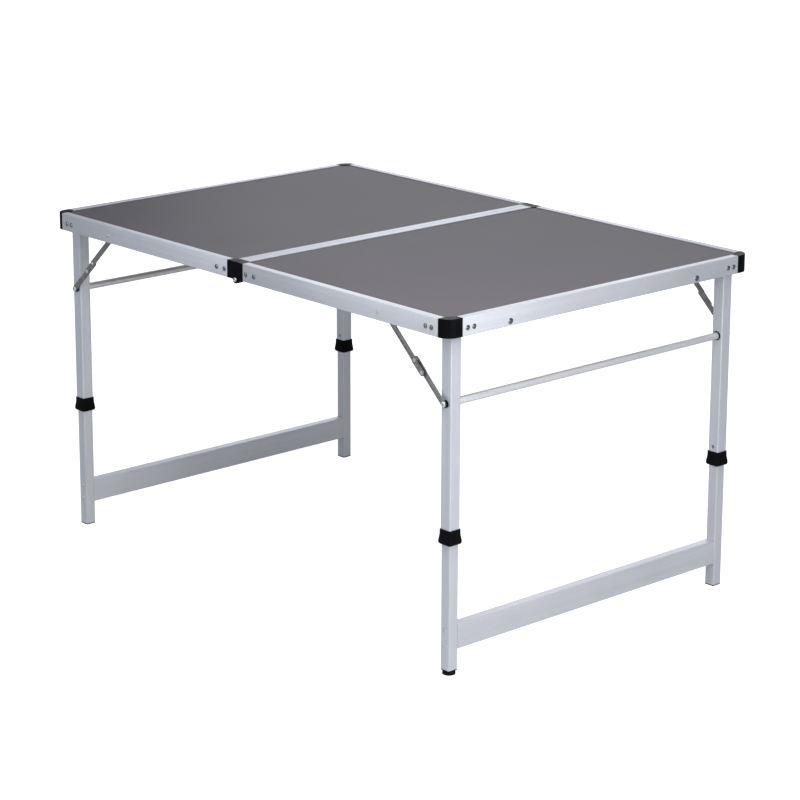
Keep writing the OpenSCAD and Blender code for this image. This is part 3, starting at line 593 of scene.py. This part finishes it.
def rivet(origin, axis, length, head=4.0, tall=1.3, shank=2.37):
    """Blind rivet: a domed head with a rolled rim and a sunk stem in its centre, then the shank."""
    t, c = np.linspace(0, 1, 9)[1:], 0.36 * head
    dome = [(c + (head - c) * x, -tall + 0.06 + (tall - 0.3) * x ** 2.2) for x in t]
    profile = [(0.3, -0.2), (c - 0.45, -0.25), (c - 0.25, -0.4), (c - 0.15, -tall + 0.12), (c, -tall + 0.06)]
    profile += dome + [(head, -0.1), (head - 0.12, 0.0), (shank, 0.0), (shank, length - 0.4)]
    profile += [(shank - 0.4, length)]
    return turned(profile, origin, axis, 28)


def rail_rivets():
    """Rivets of one half, from the ends of its rails."""
    from_corner, from_seam, end_shift, strip_y = (43.0, 58.5), (33.0, 57.0), 5, 247.0
    head, strip_head = 5.0, 6.0
    long_side = [HL - d for d in from_corner] + list(from_seam)
    shells = [rivet((x, -HW, PIVOT_Z), (0, 1, 0), 6.6, head) for x in long_side]
    for d in from_corner:
        shells.append(rivet((HL, -HW + d + end_shift, PIVOT_Z), (-1, 0, 0), HL - LEG_X - 20.0, head))
    shells.append(rivet((HL, -strip_y, PIVOT_Z - 6), (-1, 0, 0), 4.1, strip_head))
    return both_sides(shells)


def leg_bracket():
    """Sheet bent round the top of a leg: two cheeks and a web with a tab, bend radius 3 mm."""
    lo, hi = box("right_leg_brackets")
    y_out, y_in, t = -(LEG_Y + UPPER_W / 2 + 0.5), -(LEG_Y - UPPER_W / 2 - 0.5), 2.0
    tab = y_in + 9.0
    x0, x1 = lo[0], hi[0]
    plan = [(x0, y_out - t), (x1, y_out - t), (x1, tab), (x1 - t, tab), (x1 - t, y_in + t),
            (x0, y_in + t), (x0, y_in), (x1 - t, y_in), (x1 - t, y_out), (x0, y_out)]
    bends = [0.4, 3.0, 0.6, 0.4, 1.2, 0.4, 0.4, 1.2, 1.2, 0.4]
    return slab(fillet(plan, bends, 4), lo[2], hi[2], 0.35, 0.35, 3)


def leg_pin():
    """Pin across a bracket: shank of radius 3.95 between two flat heads with rounded edges."""
    y0, y1 = -(LEG_Y + UPPER_W / 2 + 2.5), -(LEG_Y - UPPER_W / 2 - 2.5)
    n = y1 - y0
    head = [(6.0, 0.0), (6.0, 0.8), (5.8, 1.2), (5.2, 1.6), (0.6, 1.6)]
    profile = [(r, -h) for r, h in head[::-1]] + [(3.95, 0.0), (3.95, n)] + [(r, n + h) for r, h in head]
    return turned(profile, (LEG_X, y0, PIVOT_Z), (0, 1, 0), 36)


def brace_pivot():
    """Shouldered rivet through the long rail that carries the upper link."""
    reach = HW - UP_OUT + LINK_T
    t = np.linspace(0, 1, 9)[1:]
    profile = [(0.35, -0.7), (0.9, -0.7), (1.05, -1.25)] + [(1.2 + 2.8 * x, -1.25 + x ** 2.4) for x in t]
    shank, spacer = 2.45, 5.0
    profile += [(4.0, -0.1), (3.9, 0.0), (shank, 0.0), (shank, RAIL_T), (spacer, RAIL_T)]
    profile += [(spacer, reach - 2.1), (shank, reach - 2.1), (shank, reach - 0.1)]
    profile += [(4.2, reach - 0.1), (4.5, reach + 0.2), (4.4, reach + 0.7), (3.4, reach + 1.1)]
    profile.append((0.5, reach + 1.2))
    return turned(profile, (BRACE_X, -HW, PIVOT_Z), (0, 1, 0), 32)


# ---- legs -------------------------------------------------------------------

def cross_bar():
    """Round tube with necked ends; its bore is narrower in the necks, and each end is rolled over."""
    inner, outer = LEG_Y - UPPER_W / 2, box("right_cross_bar")[1][1]
    half = [(2.4, outer), (4.4, outer), (4.9, outer - 0.35), (5.4, outer - 1.0), (5.3, outer - 1.4),
            (3.95, outer - 1.4), (3.95, inner - 1.5), (6.4, inner - 1.5), (6.85, inner - 1.75),
            (7.0, inner - 2.4)]
    bore = [(5.8, inner - 10.5), (2.4, inner - 12.0)]
    profile = half + [(r, -h) for r, h in half[::-1]] + [(r, -h) for r, h in bore[::-1]] + bore
    return [turned(profile, (LEG_X, 0, BAR_Z), (0, 1, 0), 44, True)]


def washer(y0, y1, radius, bore=4.0, e=0.4):
    """Flat ring on the bar's axis with rounded outer edges."""
    n = y1 - y0
    edge = [(radius - e, 0), (radius - 0.3 * e, 0.3 * e), (radius, e)]
    profile = [(bore, 0)] + edge + [(r, n - h) for r, h in edge[::-1]] + [(bore, n)]
    return turned(profile, (LEG_X, y0, BAR_Z), (0, 1, 0), 40, True)


def bar_bushes():
    """A flanged washer inside each leg and a spacer outside it."""
    inner, outer = LEG_Y - UPPER_W / 2, LEG_Y + UPPER_W / 2
    spacer_end = box("right_bar_bushes")[1][1]
    return both_sides([washer(-inner, -inner + 1.5, 9.0), washer(-spacer_end, -outer, 7.0)])


def collar():
    """Sleeve of rounded squares: straight at the top, flaring with 3s^2 - 2s^3, turned in at the foot."""
    z0, z1 = col_lo[2], col_hi[2]
    w1, wide = UPPER_W + 3.75, col_hi[0] - col_lo[0]
    t = np.linspace(0, 1, 16)
    s = np.clip((t - 0.25) / 0.75, 0, 1)
    width = w1 + (wide - w1) * (s * s * (3 - 2 * s))
    height = z1 - 1.0 - t * (z1 - z0 - 4.2)
    outside = [(w1 - 1.4, z1), (w1 - 0.5, z1 - 0.15), (w1, z1 - 0.6)] + list(zip(width, height))
    outside += [(wide - 0.3, z0 + 2.6), (wide - 1.0, z0 + 1.6), (wide - 2.1, z0 + 0.7), (wide - 3.0, z0)]
    low_hole, high_hole, ledge = LOWER_W + 0.4, UPPER_W + 0.04, z0 + 3.0
    inside = [(low_hole + 0.5, z0), (low_hole, z0 + 0.5), (low_hole, ledge), (high_hole, ledge),
              (high_hole, z1)]
    rings = []
    for w, z in outside + inside:
        corner = 3.2 if w > UPPER_W + 0.5 else 1.6
        rings.append(at_height(round_square(w, w, corner), z, (LEG_X, -LEG_Y)))
    return ring_shell(rings)


def screw(z):
    """Pan-head screw: head height (1 - r^2.6) with a sunk cross, depth falling to nothing over 0.25 mm."""
    outer = LEG_Y + LOWER_W / 2
    r = np.concatenate([np.linspace(0.12, 4.6, 16), [4.9, 5.0]])
    tall = 1.9
    dome = [(x, tall * (1 - (x / 5.0) ** 2.6) ** 0.8 if x < 4.95 else 0.1) for x in r]
    profile = dome + [(4.9, 0.0), (2.95, 0.0), (2.95, -LOWER_W - 24.0), (1.2, -LOWER_W - 26.0)]

    def cross(rr, hh, aa):
        x, y = np.abs(rr * np.cos(aa)), np.abs(rr * np.sin(aa))
        soft = lambda d: np.clip(d / 0.25, 0, 1)
        arm = np.maximum(soft(0.55 - x) * soft(2.6 - y), soft(0.55 - y) * soft(2.6 - x))
        return rr, hh - 1.0 * arm * (hh > 0.9)
    return turned(profile, (LEG_X, -outer, z), (0, -1, 0), 64, shape=cross)


def stretcher_screws():
    lo, hi = box("right_stretcher")
    mid = (lo[2] + hi[2]) / 2
    return both_sides([screw(mid - 14.5), screw(mid + 14.5)])


def foot_plug(z0):
    """Plug: a square flange with rounded edges under the tube, and a ribbed spigot inside it."""
    t, s = 2.4, LOWER_W - 2.8
    steps = [(LOWER_W - 1.8, z0), (LOWER_W - 0.7, z0 + 0.15), (LOWER_W - 0.1, z0 + 0.6), (LOWER_W, z0 + 1.1),
             (LOWER_W, z0 + t - 0.25), (LOWER_W - 0.4, z0 + t), (s, z0 + t)]
    rib = 3.6
    for i in range(4):
        z = z0 + t + 3.4 + rib * i
        steps += [(s, z), (s - 0.5, z + 0.4), (s - 0.5, z + 1.0), (s, z + 1.4)]
    steps += [(s - 1.2, z0 + t + 17.5)]
    return loft([at_height(round_square(w, w, 1.5), z, (LEG_X, -LEG_Y)) for w, z in steps])


def levelling_foot():
    """Turned foot with grip flutes, r(1 - 0.012 (1 + cos 24a)) between its rims, on a grooved stem."""
    h, r = 7.3, box("levelling_foot")[1][0] - LEG_X
    profile = [(0.4, 0.5), (r - 2.3, 0.5), (r - 1.9, 0.0), (r - 1.3, 0.0), (r - 0.5, 0.35), (r - 0.1, 1.0)]
    profile += [(r, 1.7), (r - 0.05, 3.0), (r - 0.2, 4.4), (r - 0.4, 5.6), (r - 0.6, 6.3), (r - 1.2, 7.0)]
    profile.append((r - 1.9, h))
    stem, pitch, groove = 3.9, 1.25, 0.35
    profile += [(stem + 0.5, h), (stem, h + 0.3)]
    for z in np.arange(0, 13.5, pitch / 5):
        profile.append((stem - groove * (0.5 - 0.5 * math.cos(2 * math.pi * z / pitch)), h + 0.3 + z))
    profile.append((stem - 1.0, h + 14.2))

    def flutes(rr, hh, aa):
        grip = np.clip((hh - 1.7) / 0.6, 0, 1) * np.clip((6.2 - hh) / 0.8, 0, 1)
        return rr * (1 - 0.012 * grip * (1 + np.cos(24 * aa))), hh
    return turned(profile, (LEG_X, -LEG_Y, 0), (0, 0, 1), 144, shape=flutes)


# ---- braces -----------------------------------------------------------------

P, Q = LEG_X - BRACE_X, PIVOT_Z - BAR_Z
BRACE_LEN = math.hypot(P, Q)
UPPER_L, TAIL, LINK_W, LINK_T = (BRACE_LEN + P - Q) / 2, 28.0, 12.0, 2.0
ALONG, ACROSS = np.array([P, 0, -Q]) / BRACE_LEN, np.array([Q, 0, P]) / BRACE_LEN


def link(bars, rib, y_out):
    """Pressed strip: its edges are the highest and lowest of c +- sqrt(r^2 - d^2) over the bars.

    d is the distance beyond a bar's ends. Across the strip the thickness falls as (1 - |s|^9)^(1/9),
    and a swage of 0.5 mm runs along the rib range.
    """
    r = LINK_W / 2
    u0, u1 = min(b[0] for b in bars) - r, max(b[1] for b in bars) + r
    u = (u0 + u1) / 2 - (u1 - u0) / 2 * np.cos(np.linspace(0.015, math.pi - 0.015, 150))
    tops, lows = [], []
    for a, b, c in bars:
        d = np.maximum(np.maximum(a - u, u - b), 0)
        half = np.sqrt(np.maximum(r * r - d * d, 0))
        tops.append(np.where(d < r, c + half, -1e3))
        lows.append(np.where(d < r, c - half, 1e3))
    top, low = np.max(tops, 0), np.min(lows, 0)
    s = np.sin(np.linspace(-math.pi / 2, math.pi / 2, 27))
    s = np.concatenate([s, s[-2:0:-1]])
    side = np.concatenate([np.ones(27), -np.ones(25)])
    thick = LINK_T / 2 * (np.maximum(1 - np.abs(s) ** 9, 0)) ** (1 / 9) * side
    v = ((top + low) / 2)[:, None] + ((top - low) / 2)[:, None] * s
    along = np.clip((u - rib[0]) / 5, 0, 1) * np.clip((rib[1] - u) / 5, 0, 1)
    shape = np.clip((0.52 - np.abs((v - rib[2]) / r)) / 0.16, 0, 1)
    swage = 0.5 * (along * along * (3 - 2 * along))[:, None] * shape * shape * (3 - 2 * shape)
    y = -y_out + LINK_T / 2 - (thick[None] + swage)
    depth = y[..., None] * np.array([0, 1.0, 0])
    return loft(np.array([BRACE_X, 0, PIVOT_Z]) + u[:, None, None] * ALONG + v[..., None] * ACROSS + depth)


def on_brace(u, v, y):
    return np.array([BRACE_X, y, PIVOT_Z]) + u * ALONG + v * ACROSS


UP_OUT, LOW_OUT, STEP = box("right_brace_uppers")[1][1], box("right_brace_lowers")[1][1], 1.25


def brace_rivets():
    """Elbow rivet with its washer, and the stop rivet in the tail."""
    elbow = on_brace(UPPER_L, 0, -UP_OUT)
    w = UP_OUT - LOW_OUT - 0.2
    ring = [(2.4, 2.02), (4.7, 2.02), (5.0, 2.3), (5.0, w - 0.3), (4.7, w), (2.4, w)]
    return both_sides([rivet(elbow, (0, 1, 0), w), turned(ring, elbow, (0, 1, 0), 32, True),
                       rivet(on_brace(UPPER_L + TAIL, -STEP, -UP_OUT), (0, 1, 0), 2.0)])


def hinge_pin():
    """Tubular pin with a rolled head: its bore opens in a curve to the head's rim."""
    n = BLOCK_Y - 1.0
    a = np.linspace(0, math.pi, 9)
    roll = [(3.3 + 1.2 * math.cos(x), -0.15 - 1.05 * math.sin(x)) for x in a]
    profile = roll + [(1.8, 0.6), (1.7, 1.2), (1.7, n), (2.5, n), (2.5, 0.0)]
    return turned(profile, (0, -HW - 0.15, AXIS_Z), (0, 1, 0), 44, True)


# ---- build ------------------------------------------------------------------

make_camera()
make_studio()

LAMINATE = laminate()
RAIL_X = drawn_metal("anodised_rail_long", 0, (0.585, 0.6, 0.64), (0.635, 0.65, 0.69), streak=0.15)
RAIL_Y = drawn_metal("anodised_rail_short", 1, (0.585, 0.6, 0.64), (0.635, 0.65, 0.69), streak=0.15)
TUBE_Z = drawn_metal("anodised_tube", 2, (0.585, 0.6, 0.64), (0.635, 0.65, 0.69), streak=0.15)
TUBE_Y = drawn_metal("anodised_stretcher", 1, (0.585, 0.6, 0.64), (0.635, 0.65, 0.69), streak=0.15)
BAR = drawn_metal("bar_tube", 1, (0.7, 0.71, 0.73), (0.8, 0.81, 0.83), 0.6, (0.3, 0.42), 0.2)
STRIP = drawn_metal("mill_strip", 0, (0.5, 0.505, 0.52), (0.62, 0.62, 0.64), 0.9, (0.3, 0.5), 0.9)
PLASTIC = moulded_plastic()
RUBBER = rubber()
RIVET = plated_steel("rivet_finish", (0.16, 0.16, 0.17), (0.34, 0.34, 0.36), (0.16, 0.28))
BRIGHT = plated_steel("bright_steel_finish", (0.62, 0.61, 0.6), (0.78, 0.78, 0.79))
ZINC = plated_steel("zinc_finish", (0.48, 0.49, 0.5), (0.66, 0.67, 0.68), (0.3, 0.48), 320.0)
SPRING = plated_steel("spring_finish", (0.2, 0.21, 0.24), (0.36, 0.37, 0.4), (0.25, 0.4), 260.0)
BRACE = brace_steel()

ends = rail_lo[0], rail_hi[0]
front_run, end_run = ends[1] - ends[0], HW - CAP_END_L
mid_run = HW - BLOCK_Y
for side, s in (("right", 1), ("left", -1)):
    top, upper, lower = side + "_top", side + "_leg_upper", side + "_leg_lower"

    def add(node, shells, body, slot, material, s=s, side=side):
        name = side + "_" + node
        piece(name + "_look", [mirrored(x, s, 1) for x in shells], body, material, [name])

    front = rail((ends[0], -HW, RAIL_Z), front_run, (1, 0, 0), (0, 1, 0))
    rear = rail((ends[0], HW, RAIL_Z), front_run, (1, 0, 0), (0, -1, 0))
    end = rail((HL, -end_run, RAIL_Z), 2 * end_run, (0, 1, 0), (-1, 0, 0))
    centre = rail((SEAM / 2, -mid_run, RAIL_Z), 2 * mid_run, (0, 1, 0), (1, 0, 0))
    add("front_rail", [front], top, "rail_aluminium", RAIL_X)
    add("rear_rail", [rear], top, "rail_aluminium", RAIL_X)
    add("end_rail", [end], top, "rail_aluminium", RAIL_Y)
    add("centre_rail", [centre], top, "rail_aluminium", RAIL_Y)
    add("corner_caps", both_sides(corner_cap()), top, "black_plastic", PLASTIC)
    add("hinge_leaves", both_sides(hinge_leaf(s > 0)), top, "black_plastic", PLASTIC)
    add("rail_rivets", rail_rivets(), top, "bright_steel", RIVET)
    add("leg_brackets", both_sides([leg_bracket()]), top, "zinc_steel", ZINC)
    add("leg_pins", both_sides([leg_pin()]), top, "bright_steel", BRIGHT)
    add("brace_rail_pivots", both_sides([brace_pivot()]), top, "bright_steel", BRIGHT)
    add("cross_bar", cross_bar(), upper, "bar_aluminium", BAR)
    add("bar_bushes", bar_bushes(), upper, "black_plastic", PLASTIC)
    add("collars", both_sides([collar()]), upper, "black_plastic", PLASTIC)
    add("stretcher_screws", stretcher_screws(), lower, "bright_steel", BRIGHT)
    plugs = [mirrored(foot_plug(0.0), 1, -1), foot_plug(7.5 if s > 0 else 0.0)]
    add("foot_plugs", plugs, lower, "foot_rubber", RUBBER)
    tail_end = UPPER_L + TAIL
    up_link = link([(0, UPPER_L, 0), (UPPER_L, tail_end, -STEP)], (14, UPPER_L - 12, 0), UP_OUT)
    low_bars = [(UPPER_L, BRACE_LEN, 0), (UPPER_L, tail_end, STEP)]
    low_link = link(low_bars, (tail_end + 8, BRACE_LEN - 13, 0), LOW_OUT)
    add("brace_uppers", both_sides([up_link]), side + "_brace_upper", "brace_steel", BRACE)
    add("brace_rivets", brace_rivets(), side + "_brace_upper", "bright_steel", BRIGHT)
    add("brace_lowers", both_sides([low_link]), side + "_brace_lower", "brace_steel", BRACE)

piece("levelling_foot_look", [levelling_foot()], "levelling_foot", RUBBER, ["levelling_foot"])
piece("hinge_pins_look", both_sides([hinge_pin()]), "right_top", BRIGHT, ["hinge_pins"])

# Nodes drawn as the CAD has them; a name takes the longest ending that fits it
KEPT = {"panel": LAMINATE, "support_strips": STRIP, "upper_tube": TUBE_Z, "lower_tube": TUBE_Z,
        "stretcher": TUBE_Y, "stretcher_plugs": PLASTIC, "guide_plugs": PLASTIC, "snap_clip": SPRING}
for name, node in frame["nodes"].items():
    if node.hide_render:
        continue
    words = [k for k in KEPT if name.endswith(k)]
    node.data.materials.clear()
    node.data.materials.append(KEPT[max(words, key=len)])
